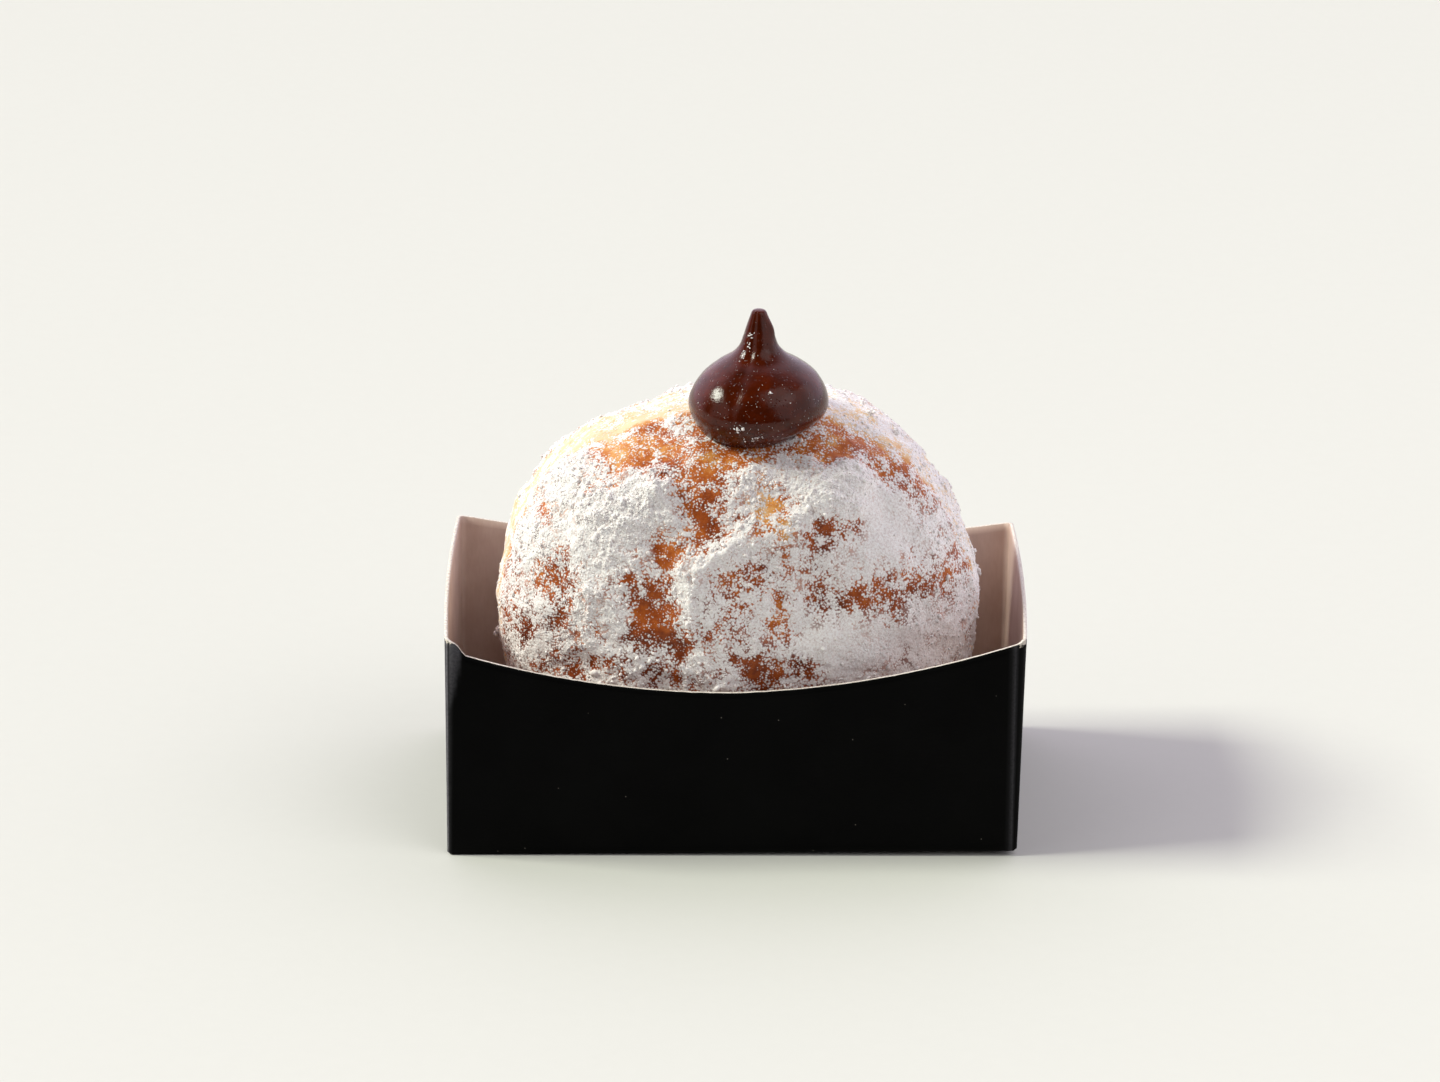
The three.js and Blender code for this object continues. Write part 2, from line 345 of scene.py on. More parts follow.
def sugared_fried_crust():
    """Fried yeast dough, sieved over with icing sugar: brown to orange faces with small blisters, pale
    yellow round the belt, a low shine of fat where it is bare, and matt grains where sugar lies."""
    material, tree, place = start_material("sugared_fried_crust")
    sugar = add_node(tree, "Attribute", attribute_name="sugar", output="Fac")
    browning = add_node(tree, "Attribute", attribute_name="browning", output="Fac")

    inputs = {"Vector": place, "Scale": 1 / DUST_FLAKE, "Detail": 3, "Roughness": 0.7}
    flake = add_node(tree, "TexNoise", inputs)
    inputs = {"Vector": place, "Scale": 1 / DUST_GRIT}
    grit = add_node(tree, "TexVoronoi", inputs, output="Distance")
    inputs = {"Vector": place, "Scale": 1 / CRUST_BUBBLE, "Smoothness": 0.4}
    bubble = add_node(tree, "TexVoronoi", inputs, output="Distance", feature="SMOOTH_F1")
    amount = add_node(tree, "Math", {0: flake, 1: FLAKE_SHARE, 2: sugar}, operation="MULTIPLY_ADD")
    amount = add_node(tree, "Math", {0: grit, 1: GRIT_SHARE, 2: amount}, operation="MULTIPLY_ADD")
    amount = add_node(tree, "Math", {0: bubble, 1: BUBBLE_SHARE, 2: amount}, operation="MULTIPLY_ADD")
    level = FLAKE_MIDDLE * FLAKE_SHARE + GRIT_MIDDLE * GRIT_SHARE + BUBBLE_MIDDLE * BUBBLE_SHARE
    amount = add_node(tree, "Math", {0: amount, 1: level}, operation="SUBTRACT")
    inputs = {"Value": amount, "From Min": DUST_FROM, "From Max": DUST_TO}
    cover = add_node(tree, "MapRange", inputs, interpolation_type="SMOOTHSTEP")
    inputs = {"Value": sugar, "From Min": GAPS_FROM, "From Max": GAPS_TO, "To Max": GAPS_DUSTED}
    least = add_node(tree, "MapRange", inputs, interpolation_type="SMOOTHSTEP")
    cover = add_node(tree, "Math", {0: cover, 1: least}, operation="MAXIMUM")

    inputs = {"Vector": place, "Scale": 1 / CRUST_MOTTLE, "Detail": 4, "Roughness": 0.6}
    mottle = add_node(tree, "TexNoise", inputs)
    inputs = {"Vector": place, "Scale": 1 / CRUST_BLISTER, "Detail": 2, "Roughness": 0.6}
    blister = add_node(tree, "TexNoise", inputs)
    tone = add_node(tree, "Math", {0: mottle, 1: MOTTLE_SHARE, 2: browning}, operation="MULTIPLY_ADD")
    tone = add_node(tree, "Math", {0: blister, 1: BLISTER_SHARE, 2: tone}, operation="MULTIPLY_ADD")
    tone = add_node(tree, "Math", {0: tone, 1: TONE_MIDDLE}, operation="SUBTRACT")
    crust = add_node(tree, "ValToRGB", {"Fac": tone}, stops=CRUST_STOPS)

    inputs = {"Vector": place, "Scale": 1 / SUGAR_GRAIN, "Detail": 2, "Roughness": 0.6}
    grains = add_node(tree, "TexNoise", inputs)
    # The powder's darker tones are painted shade between its clots
    powder = add_node(tree, "ValToRGB", {"Fac": grains}, stops=SUGAR_SHADE_STOPS)
    inputs = {0: cover, FIRST_COLOUR: crust, SECOND_COLOUR: powder}
    colour = add_node(tree, "Mix", inputs, output=MIXED_COLOUR, data_type="RGBA")

    inputs = {"Height": blister, "Distance": 0.3 * MM, "Strength": 0.6}
    crust_relief = add_node(tree, "Bump", inputs)
    heap = add_node(tree, "Math", {0: grit, 1: GRIT_IN_HEAPS, 2: flake}, operation="MULTIPLY_ADD")
    clots = add_node(tree, "Attribute", attribute_name="clots", output="Fac")
    rough = add_node(tree, "Math", {0: clots, 1: cover}, operation="MULTIPLY")
    powder_height = add_node(tree, "Math", {0: heap, 1: rough}, operation="MULTIPLY")
    inputs = {"Height": powder_height, "Distance": 0.4 * MM, "Strength": 0.8, "Normal": crust_relief}
    finish_material(tree, {
        "Base Color": colour,
        "Roughness": add_node(tree, "MapRange", {"Value": cover, "To Min": 0.45, "To Max": 0.9}),
        "Normal": add_node(tree, "Bump", inputs),
        "IOR": 1.45,
        "Specular IOR Level": 0.3,
    })
    return material


CREAM_CLOUD = 4.0
CREAM_NUT = 0.35
# Spacing of the pinholes, and where their rims begin and end, as shares of it
CREAM_PINHOLE = 0.8
PINHOLE_FROM, PINHOLE_TO = 0.1, 0.24
NUT_RELIEF = 0.4
CREAM_STOPS = ((0.3, "#380e00"), (0.55, "#4a1400"), (0.75, "#5b1c02"))


def dark_chocolate_cream():
    """Dark chocolate and hazelnut cream, piped: smooth and glossy, deep red brown, with ground nut and
    pinholes that break the shine into fine specks."""
    material, tree, place = start_material("dark_chocolate_cream")
    inputs = {"Vector": place, "Scale": 1 / CREAM_CLOUD, "Detail": 3, "Roughness": 0.6}
    cloud = add_node(tree, "TexNoise", inputs)
    inputs = {"Vector": place, "Scale": 1 / CREAM_NUT, "Detail": 2, "Roughness": 0.6}
    nut = add_node(tree, "TexNoise", inputs)
    inputs = {"Vector": place, "Scale": 1 / CREAM_PINHOLE}
    hole = add_node(tree, "TexVoronoi", inputs, output="Distance")
    depth = add_node(tree, "MapRange", {"Value": hole, "From Min": PINHOLE_FROM, "From Max": PINHOLE_TO})
    height = add_node(tree, "Math", {0: nut, 1: NUT_RELIEF, 2: depth}, operation="MULTIPLY_ADD")
    inputs = {"Value": nut, "From Min": 0.3, "From Max": 0.7, "To Min": 0.13, "To Max": 0.19}
    finish_material(tree, {
        "Base Color": add_node(tree, "ValToRGB", {"Fac": cloud}, stops=CREAM_STOPS),
        "Roughness": add_node(tree, "MapRange", inputs),
        "Normal": add_node(tree, "Bump", {"Height": height, "Distance": 0.08 * MM, "Strength": 0.9}),
        "IOR": 1.46,
        "Specular IOR Level": 0.31,
    })
    return material


SHEET_WAVE = 9.0
BOARD_TOOTH = 0.5
# Spacing of stray dust, where a fleck's edge begins and ends as a share of it, and how pale it is
DUST_SPACING = 3.6
FLECK_FROM, FLECK_TO, FLECK_PALENESS = 0.024, 0.036, 0.22
# Worn places fray along the board's own tooth
FRAY_SHARE, FRAY_FROM, FRAY_TO = 1.4, 1.3, 1.45
SHEET_RELIEF = 8.0
COAT_STOPS = ((0.3, "#060606"), (0.7, "#090909"))
# Grey painted into the coat as sheen and reflection on the folds
SHEEN_PAINT_COLOUR = "#8b8990"
FIBRE_COLOUR = "#cfc6ba"


def black_coated_board():
    """Folding boxboard with a black satin coat outside: nearly black, a soft low shine at grazing
    light, a faint waviness of the sheet, stray dust, grey painted sheen and painted reflection on the
    folds, and cream fibres where an edge has torn."""
    material, tree, place = start_material("black_coated_board")
    wear = add_node(tree, "Attribute", attribute_name="wear", output="Fac")
    inputs = {"Vector": place, "Scale": 1 / SHEET_WAVE, "Detail": 3}
    sheet = add_node(tree, "TexNoise", inputs)
    inputs = {"Vector": place, "Scale": 1 / BOARD_TOOTH, "Detail": 3, "Roughness": 0.6}
    tooth = add_node(tree, "TexNoise", inputs)
    speck = add_node(tree, "TexVoronoi", {"Vector": place, "Scale": 1 / DUST_SPACING}, output="Distance")
    inputs = {"Value": speck, "From Min": FLECK_FROM, "From Max": FLECK_TO}
    inputs |= {"To Min": FLECK_PALENESS, "To Max": 0}
    dust = add_node(tree, "MapRange", inputs)
    frayed = add_node(tree, "Math", {0: tooth, 1: FRAY_SHARE, 2: wear}, operation="MULTIPLY_ADD")
    rubbed = add_node(tree, "MapRange", {"Value": frayed, "From Min": FRAY_FROM, "From Max": FRAY_TO})
    bare = add_node(tree, "Math", {0: dust, 1: rubbed}, operation="MAXIMUM")
    coat = add_node(tree, "ValToRGB", {"Fac": sheet}, stops=COAT_STOPS)
    # Painted sheen and painted reflection on the folds, mixed into the coat's colour
    painted_sheen = add_node(tree, "Attribute", attribute_name="painted_sheen", output="Fac")
    uneven = add_node(tree, "MapRange", {"Value": tooth, "From Min": 0.3, "From Max": 0.6, "To Min": 0.6})
    sheen_share = add_node(tree, "Math", {0: painted_sheen, 1: uneven}, operation="MULTIPLY")
    inputs = {0: sheen_share, FIRST_COLOUR: coat, SECOND_COLOUR: linear(SHEEN_PAINT_COLOUR)}
    coat = add_node(tree, "Mix", inputs, output=MIXED_COLOUR, data_type="RGBA")
    inputs = {0: bare, FIRST_COLOUR: coat, SECOND_COLOUR: linear(FIBRE_COLOUR)}
    height = add_node(tree, "Math", {0: sheet, 1: SHEET_RELIEF, 2: tooth}, operation="MULTIPLY_ADD")
    finish_material(tree, {
        "Base Color": add_node(tree, "Mix", inputs, output=MIXED_COLOUR, data_type="RGBA"),
        "Roughness": add_node(tree, "MapRange", {"Value": tooth, "To Min": 0.36, "To Max": 0.5}),
        "Normal": add_node(tree, "Bump", {"Height": height, "Distance": 0.015 * MM, "Strength": 0.5}),
        "Specular IOR Level": 0.03,
    })
    return material


PULP_FIBRE = 0.5
# The pattern's scale each way: the fibres run up the wall, and are five times as long as wide
FIBRE_STRETCH = (1, 1, 0.2)
PULP_CLOUD = 7.0
PULP_STOPS = ((0.5, "#c0a497"), (0.9, "#cfb7ab"))
FIBRE_SHARE = 0.4


def brown_board_inside():
    """The bare inner side of the board: greyish brown pulp, smooth and matt with fine fibres."""
    material, tree, place = start_material("brown_board_inside")
    along = add_node(tree, "VectorMath", {0: place, 1: FIBRE_STRETCH}, operation="MULTIPLY")
    inputs = {"Vector": along, "Scale": 1 / PULP_FIBRE, "Detail": 3, "Roughness": 0.6}
    fibre = add_node(tree, "TexNoise", inputs)
    cloud = add_node(tree, "TexNoise", {"Vector": place, "Scale": 1 / PULP_CLOUD, "Detail": 3})
    tone = add_node(tree, "Math", {0: fibre, 1: FIBRE_SHARE, 2: cloud}, operation="MULTIPLY_ADD")
    finish_material(tree, {
        "Base Color": add_node(tree, "ValToRGB", {"Fac": tone}, stops=PULP_STOPS),
        "Normal": add_node(tree, "Bump", {"Height": fibre, "Distance": 0.02 * MM, "Strength": 0.4}),
        "Roughness": 0.5,
        "IOR": 1.45,
    })
    return material


EDGE_FUR = 0.4
EDGE_STOPS = ((0.3, "#b7aaa0"), (0.6, "#f2ebe2"))


def cut_board_edge():
    """The die-cut edge of the board: cream pulp, a little furry, darker in places."""
    material, tree, place = start_material("cut_board_edge")
    fur = add_node(tree, "TexNoise", {"Vector": place, "Scale": 1 / EDGE_FUR, "Detail": 3, "Roughness": 0.7})
    finish_material(tree, {
        "Base Color": add_node(tree, "ValToRGB", {"Fac": fur}, stops=EDGE_STOPS),
        "Normal": add_node(tree, "Bump", {"Height": fur, "Distance": 0.1 * MM, "Strength": 0.6}),
        "Roughness": 0.9,
    })
    return material


TABLE_FLECK = 3.0
TABLE_STOPS = ((0, "#d3d4ce"), (1, "#d5d6d0"))


def pale_table():
    """A matt pale laminate, plain, so that only the shadows show on it."""
    material, tree, place = start_material("pale_table")
    fleck = add_node(tree, "TexNoise", {"Vector": place, "Scale": 1 / TABLE_FLECK, "Detail": 2})
    finish_material(tree, {
        "Base Color": add_node(tree, "ValToRGB", {"Fac": fleck}, stops=TABLE_STOPS),
        "Roughness": 0.9,
        "Specular IOR Level": 0.1,
    })
    return material


# Doughnut

def plain_radius(ways):
    """Distance from the middle to the plain body in each direction."""
    half_height = np.where(ways[:, 2] > 0, HEIGHT_ABOVE, DEPTH_BELOW)
    across = np.abs(ways[:, 0] / HALF_WIDTH) ** FACE_ROUNDNESS
    up = np.abs(ways[:, 2] / half_height) ** FACE_ROUNDNESS
    edge = np.abs(ways[:, 1] / HALF_THICKNESS) ** EDGE_ROUNDNESS
    return ((across + up) ** (EDGE_ROUNDNESS / FACE_ROUNDNESS) + edge) ** (-1 / EDGE_ROUNDNESS)


def broad_relief(points):
    """The relief that the solid has too."""
    height = wave_mix(points, **SWELLS) + wave_mix(points, **LUMPS)
    for place, reach, rise in FORMS.values():
        height += rise * near(points, place, reach)
    return height + RIDGE_HEIGHT * np.exp(-(distance_to_path(points, RIDGE_PATH) / RIDGE_REACH) ** 2)


# Where the sugar has gone from the front and the crust shows: place across and up, reach, how bare
BARE_PATCHES = (
    (-16.5, 31.6, 4.0, 0.66), (-10.0, 32.0, 4.2, 0.62), (-6.5, 27.0, 3.2, 0.62), (-22.5, 28.0, 2.8, 0.60),
    (-3.0, 35.0, 5.0, 0.72), (14.0, 33.5, 4.5, 0.80), (19.5, 32.5, 2.6, 0.70), (24.3, 30.6, 2.8, 0.90),
    (28.6, 27.5, 2.8, 0.90), (32.4, 24.0, 2.8, 0.80), (-31.6, 11.3, 4.0, 0.70), (-16.2, 9.5, 3.6, 0.80),
    (-14.5, 4.5, 3.0, 0.82), (-10.3, 1.2, 3.2, 0.86), (-18.0, 2.0, 2.6, 0.60), (5.2, -4.6, 3.8, 0.86),
    (-1.0, -1.6, 1.6, 0.66), (13.0, -4.6, 3.0, 0.60), (15.8, 21.2, 2.4, 0.95), (20.8, 21.6, 2.6, 0.95),
    (23.4, 10.0, 4.2, 0.66), (28.0, 8.0, 4.0, 0.52), (35.8, 10.0, 4.2, 0.60), (31.0, 15.0, 1.3, 0.60),
    (15.5, 13.5, 1.5, 0.50), (-25.1, 25.5, 1.6, 0.45), (-6.3, 20.5, 3.6, 0.42), (-4.5, 24.5, 2.6, 0.42),
    (-10.5, 16.0, 2.2, 0.50), (-33.0, 19.5, 2.4, 0.60), (-31.0, 4.5, 1.7, 0.45), (-36.5, 0.5, 2.4, 0.40),
    (3.5, 14.8, 1.6, 0.36), (7.6, 8.2, 2.4, 0.30), (-13.0, -6.0, 3.2, 0.60), (-4.2, 4.2, 2.2, 0.34),
    (-6.0, 12.0, 12.0, 0.14), (12.0, 10.0, 8.0, 0.18), (2.0, 3.0, 8.0, 0.10), (-37.0, 5.0, 8.0, 0.14),
    (5.0, 19.0, 8.0, 0.12), (-1.0, 9.0, 5.0, 0.34), (7.5, 4.5, 4.5, 0.30), (7.6, 9.8, 0.7, 1.2),
    (-12.8, 18.2, 2.6, 0.80), (-40.0, 4.0, 5.0, 0.16), (-20.5, 34.0, 4.0, 0.50), (-27.0, 31.5, 3.0, 0.40),
    (15.0, 8.6, 4.5, 0.40), (21.5, 7.0, 3.0, 0.30), (-39.0, -3.0, 4.0, 0.26), (-2.5, 30.5, 3.0, 0.34),
    (6.5, 26.0, 3.6, 0.62), (2.5, 35.0, 4.0, 0.60), (5.0, 21.5, 2.4, 0.40), (-30.0, -3.0, 4.0, 0.30),
    (-23.0, -5.0, 4.0, 0.42),
)
# Where it lies thick and clotted
THICK_DRIFTS = (
    (-28.0, 25.0, 6.5, 0.34), (-23.0, 17.0, 4.5, 0.26), (-25.5, 8.5, 4.0, 0.30), (14.0, 28.5, 4.5, 0.36),
    (20.0, 27.0, 3.8, 0.46), (-34.0, 16.0, 4.0, 0.26), (2.0, 29.0, 3.5, 0.24), (-12.0, 22.5, 3.5, 0.12),
    (-14.3, 27.0, 3.4, 0.60), (-20.5, 23.4, 4.2, 0.44),
)
# Where it has been pressed smooth and even
SMOOTH_FIELDS = (
    (26.0, 22.0, 8.0, 0.45), (2.0, 10.5, 9.5, 0.10), (14.0, 4.0, 9.0, 0.16), (20.0, -1.0, 9.0, 0.20),
    (34.0, 0.0, 6.0, 0.20),
)
# Where oil has soaked through and the crust is only pale brown
PALE_PATCHES = ((5.2, 25.5, 4.0, 0.5), (8.0, 20.5, 2.0, 0.5), (-21.0, 31.0, 5.0, 0.12))
# The amount of sugar that a wholly bare patch takes away
PATCH_DEPTH = 0.84
# The spots above fade in between these distances from the middle toward the viewer
FRONT_FROM, FRONT_TO = 2, 8
# Strength, size and seed of each noise that breaks up the fields
WANDER_NOISES = ((1.5, 3.5, 1), (1.5, 3.5, 2))
AMOUNT_NOISES = ((0.14, 11, 3), (0.18, 4.2, 4), (0.16, 1.9, 5))
CLOT_NOISES = ((0.6, 2.4, 11), (0.6, 1.3, 12), (0.45, 0.8, 13))
BELT_EDGE_NOISE = (1.6, 6, 7)
STREAK_NOISE = (0.24, 1, 17)
BROWNING_NOISE = (0.2, 8, 8)
CLOTTED_NOISE = (0.3, 9, 9)
CREST_NOISE = (0.6, 1.6, 10)
PORE_NOISE = (0.06, 1.4, 14)
# The amount of sugar on a plain place, and how much more lies along the ridge
PLAIN_AMOUNT = 0.90
RIDGE_AMOUNT = 0.25
RIDGE_SUGAR_REACH = 1.8
# Half width of the pale belt that the frying fat didn't reach, and how far its edges fade each way
BELT_HALF_WIDTH = 7.5
BELT_FADE_IN, BELT_FADE_OUT = 2.5, 2
# Sugar lies on the belt in streaks of this length and width, and least on its upper left
BELT_STREAK = np.array((6.0, 1.0))
BELT_BARE = 0.04
LEFT_BELT_BARE = 0.36
LEFT_BELT_ACROSS, LEFT_BELT_UP = 18, 14
# Browning of the faces, and how much lighter the crust is made for each millimetre up from the middle
FACE_BROWNING = 0.70
HIGHER_PALER = 0.005
BROWNING_RANGE = (0.04, 1.1)
# How high a drift stands for its strength
DRIFT_HEIGHT = 3.0
# Sugar heaped along the crest of the ridge, which runs out to the right between these places
CREST_HEIGHT = 0.45
CREST_REACH = 0.8
CREST_FULL, CREST_GONE = -4, 7
# How clotted the sugar is on a plain place, and how much less where it is smooth or on the belt,
# which is even as far as these places on the right
PLAIN_CLOTTED = 0.62
SMOOTH_LESS = 1.5
EVEN_BELT_LESS = 0.3
EVEN_BELT_FULL, EVEN_BELT_GONE = 20, 38
CLOTTED_RANGE = (0.1, 1.1)
# The bed of sugar thickens between these amounts, and the clots stand on it
BED_FROM, BED_TO = 0.38, 1.0
BED_THICKNESS = 0.12
CLOT_HEIGHT = 0.75
CLOT_MIDDLE, CLOT_TALLEST = 0.5, 1.6


def front_spots(points, spots, wander):
    """Sum of round spots on the front, their edges moved about by wander."""
    total = np.zeros(len(points))
    for across, up, reach, strength in spots:
        apart = np.hypot(points[:, 0] + wander[0] - across, points[:, 2] + wander[1] - up)
        total += strength * np.exp(-(apart / reach) ** 2)
    return total * smoothstep(-points[:, 1], FRONT_FROM, FRONT_TO)


def belt_streaks(points):
    """Noise drawn out along the rim of the doughnut."""
    along = np.arctan2(points[:, 0], points[:, 2]) * HALF_WIDTH
    flat = np.stack([along / BELT_STREAK[0], points[:, 1] / BELT_STREAK[1], np.zeros(len(points))], axis=1)
    return grain_mix(flat, STREAK_NOISE)


def sugar_fields(points):
    """For points of the plain body: how much sugar lies there (crust shows under 0.5), how clotted it
    is, how brown the crust is, and how high the drifts and the crest stand."""
    wander = [grain_mix(points, noise) for noise in WANDER_NOISES]
    bare = front_spots(points, BARE_PATCHES, wander)
    thick = front_spots(points, THICK_DRIFTS, wander)
    smooth = front_spots(points, SMOOTH_FIELDS, wander)
    moved = points + np.stack([wander[0], np.zeros(len(points)), wander[1]], axis=1)
    from_ridge = distance_to_path(moved, RIDGE_PATH)
    ridge = np.exp(-(from_ridge / RIDGE_SUGAR_REACH) ** 2)
    from_seam = np.abs(points[:, 1]) + grain_mix(points, BELT_EDGE_NOISE)
    belt = 1 - smoothstep(from_seam, BELT_HALF_WIDTH - BELT_FADE_IN, BELT_HALF_WIDTH + BELT_FADE_OUT)
    left_belt = smoothstep(-points[:, 0], 0, LEFT_BELT_ACROSS) * smoothstep(points[:, 2], 0, LEFT_BELT_UP)

    amount = PLAIN_AMOUNT + grain_mix(points, *AMOUNT_NOISES)
    amount += thick + smooth + RIDGE_AMOUNT * ridge - PATCH_DEPTH * bare
    amount += belt * (belt_streaks(points) - BELT_BARE - LEFT_BELT_BARE * left_belt)

    browning = FACE_BROWNING - HIGHER_PALER * points[:, 2] + grain_mix(points, BROWNING_NOISE)
    browning = (1 - belt) * browning - front_spots(points, PALE_PATCHES, wander)

    crest = CREST_HEIGHT * np.exp(-(from_ridge / CREST_REACH) ** 2) * (1 + grain_mix(points, CREST_NOISE))
    drift = DRIFT_HEIGHT * thick + crest * smoothstep(-points[:, 0], -CREST_GONE, -CREST_FULL)

    even_belt = belt * smoothstep(-points[:, 0], -EVEN_BELT_GONE, -EVEN_BELT_FULL)
    clotted = PLAIN_CLOTTED + grain_mix(points, CLOTTED_NOISE) + thick
    clotted = clotted - SMOOTH_LESS * smooth - EVEN_BELT_LESS * even_belt
    return amount, np.clip(clotted, *CLOTTED_RANGE), np.clip(browning, *BROWNING_RANGE), drift


def sugar_height(points, amount, clotted):
    """How far the sugar stands above the crust."""
    bed = smoothstep(amount, BED_FROM, BED_TO)
    clots = np.clip(CLOT_MIDDLE + grain_mix(points, *CLOT_NOISES), 0, CLOT_TALLEST)
    return bed * (BED_THICKNESS + CLOT_HEIGHT * clotted * clots)


# Directions that are the same when rounded to this many parts of 1 meet at one corner
WELD_PARTS = 1e5


def ball_directions(cells, pull, toward):
    """Directions over a ball from a cube's six sides, drawn closer together where the crust shows."""
    ticks = np.tan(np.linspace(-1, 1, cells + 1) * math.pi / 4)
    one, two = np.meshgrid(ticks, ticks, indexing="ij")
    sides = []
    for axis, sign in product(range(3), (-1, 1)):
        side = np.zeros(one.shape + (3,))
        side[..., axis] = sign
        side[..., (axis + 1) % 3] = one
        side[..., (axis + 2) % 3] = two * sign
        sides.append(side.reshape(-1, 3))
    ways = unit(np.concatenate(sides))
    row, column = np.meshgrid(np.arange(cells), np.arange(cells), indexing="ij")
    first = (row * (cells + 1) + column).ravel()
    quads = np.stack([first, first + cells + 1, first + cells + 2, first + 1], axis=1)
    quads = np.concatenate([quads + side * (cells + 1) ** 2 for side in range(6)])
    rounded = np.round(ways * WELD_PARTS).astype(int)
    _, keep, where = np.unique(rounded, axis=0, return_index=True, return_inverse=True)
    return unit(ways[keep] + pull * unit(np.array(toward, float))), where.reshape(-1)[quads]


CRUST_CELLS = 128
CRUST_PULL = 0.28
CRUST_TOWARD = (0, -0.55, 0.85)
# The crust lies this far under the solid's surface, which stands for the top of the sugar
SUGAR_BED = 0.3


def crust_points(ways):
    """Points of the sugared crust from the middle, with the fields that its material reads."""
    plain = ways * plain_radius(ways)[:, None]
    amount, clotted, browning, drift = sugar_fields(plain)
    crust = broad_relief(plain) - SUGAR_BED + grain_mix(plain, PORE_NOISE)
    height = crust + sugar_height(plain, amount, clotted) + drift
    return plain + ways * height[:, None], amount, clotted, browning


def make_crust(material):
    """The crust with its bed of sugar, which rests a little above the floor of the tray."""
    ways, faces = ball_directions(CRUST_CELLS, CRUST_PULL, CRUST_TOWARD)
    points, amount, clotted, browning = crust_points(ways)
    placed = points + MIDDLE
    placed[:, 2] = np.maximum(placed[:, 2], BOARD + RESTING_GAP)
    attributes = {"sugar": amount, "browning": browning, "clots": clotted}
    piece = add_mesh("sugared_crust", placed, faces, [material], attributes=attributes)
    return piece, placed, amount, clotted


def icosahedron():
    """Corners and faces of a ball of 20 triangles, found as the threes of corners 2 apart."""
    golden = (1 + math.sqrt(5)) / 2
    corners = [(side, up * golden, 0) for side in (-1, 1) for up in (-1, 1)]
    corners += [(0, side, up * golden) for side in (-1, 1) for up in (-1, 1)]
    corners += [(up * golden, 0, side) for side in (-1, 1) for up in (-1, 1)]
    corners = np.array(corners, float)
    faces = []
    for one, two, three in product(range(12), repeat=3):
        if one < two and one < three and two != three:
            triangle = corners[[one, two, three]]
            sides = np.linalg.norm(triangle - np.roll(triangle, 1, axis=0), axis=1)
            if np.allclose(sides, 2) and np.linalg.det(triangle) > 0:
                faces.append((one, two, three))
    return unit(corners), np.array(faces)


# Each grain is uneven and stretched by shares in these ranges and flattened by a share, and its middle
# stands above its bed by a share of its size
GRAIN_UNEVENNESS = (0.65, 1.35)
GRAIN_STRETCH = (0.75, 1.3)
GRAIN_FLATNESS = 0.75
GRAIN_RISE = 0.15


def scatter_grains(name, places, outward, sizes, material, rng):
    """Rough grains of sugar joined as one mesh: each an uneven ball, a little flattened on its bed."""
    corners, faces = icosahedron()
    count = len(places)
    turns = unit(rng.normal(size=(count, 3)))
    across = unit(np.cross(outward, turns))
    along = np.cross(outward, across)
    shape = rng.uniform(*GRAIN_UNEVENNESS, size=(count, len(corners), 1))
    stretch = rng.uniform(*GRAIN_STRETCH, size=(count, 1, 1))
    balls = corners[None] * shape
    local = balls[..., :1] * across[:, None] * stretch + balls[..., 1:2] * along[:, None] / stretch
    local = local + balls[..., 2:] * outward[:, None] * GRAIN_FLATNESS
    points = places[:, None] + (local + outward[:, None] * GRAIN_RISE) * sizes[:, None, None]
    all_faces = faces[None] + np.arange(count)[:, None, None] * len(corners)
    return add_mesh(name, points.reshape(-1, 3), all_faces.reshape(-1, 3), [material])


CLUMP_SEED = 41
CLUMP_COUNT = 9000
CLUMP_SIZE = 0.17
CLUMP_SPREAD = 0.45
CLUMP_SIZE_RANGE = (0.1, 0.9)
# The chance of a clump rises between these amounts of sugar, and with how clotted it is
CLUMPS_FROM, CLUMPS_TO = 0.45, 0.85
CLOTTED_POWER = 1.5
# Hardly any lie under the first of these heights, deep in the tray, where they are hidden
CLUMPS_LOW, CLUMPS_HIGH = 14, 26
LEAST_CHANCE = 1e-9
# Tufts of sugar that stand out from the outline: place across and up
TUFTS = ((24.3, 72.5), (29.2, 68.7), (43.3, 42.6), (-43.1, 30.3))
TUFT_GRAINS = 9
TUFT_GRAIN_SIZE = 0.36
TUFT_HEIGHT = 0.7
# How much a place's distance in depth counts, against its distance in the picture
TUFT_DEPTH_SHARE = 0.2


def make_clumps(crust, placed, amount, clotted, material):
    """Loose grains and clots of sugar on the crust, most where it lies thick and clotted."""
    rng = np.random.default_rng(CLUMP_SEED)
    normals = np.empty(len(placed) * 3)
    crust.data.vertices.foreach_get("normal", normals)
    normals = normals.reshape(-1, 3)
    chance = smoothstep(amount, CLUMPS_FROM, CLUMPS_TO) * clotted ** CLOTTED_POWER
    chance = chance * smoothstep(placed[:, 2], CLUMPS_LOW, CLUMPS_HIGH) + LEAST_CHANCE
    picked = rng.choice(len(placed), CLUMP_COUNT, replace=False, p=chance / chance.sum())
    sizes = CLUMP_SIZE * np.exp(CLUMP_SPREAD * rng.normal(size=CLUMP_COUNT))
    sizes = np.clip(sizes, *CLUMP_SIZE_RANGE)
    tufts = []
    for across, up in TUFTS:
        apart = np.hypot(placed[:, 0] - across, placed[:, 2] - up)
        apart = apart + TUFT_DEPTH_SHARE * np.abs(placed[:, 1])
        tufts.append(np.argsort(apart)[:TUFT_GRAINS])
    picked = np.concatenate([picked] + tufts)
    in_tufts = len(picked) - CLUMP_COUNT
    lift = np.concatenate([np.zeros(CLUMP_COUNT), rng.uniform(0, TUFT_HEIGHT, in_tufts)])
    sizes = np.concatenate([sizes, np.full(in_tufts, TUFT_GRAIN_SIZE)])
    places = placed[picked] + normals[picked] * lift[:, None]
    return scatter_grains("sugar_clumps", places, normals[picked], sizes, material, rng)


# Chocolate drop

# Steps between two points of a profile, before its places are spaced evenly
CURVE_STEPS = 24


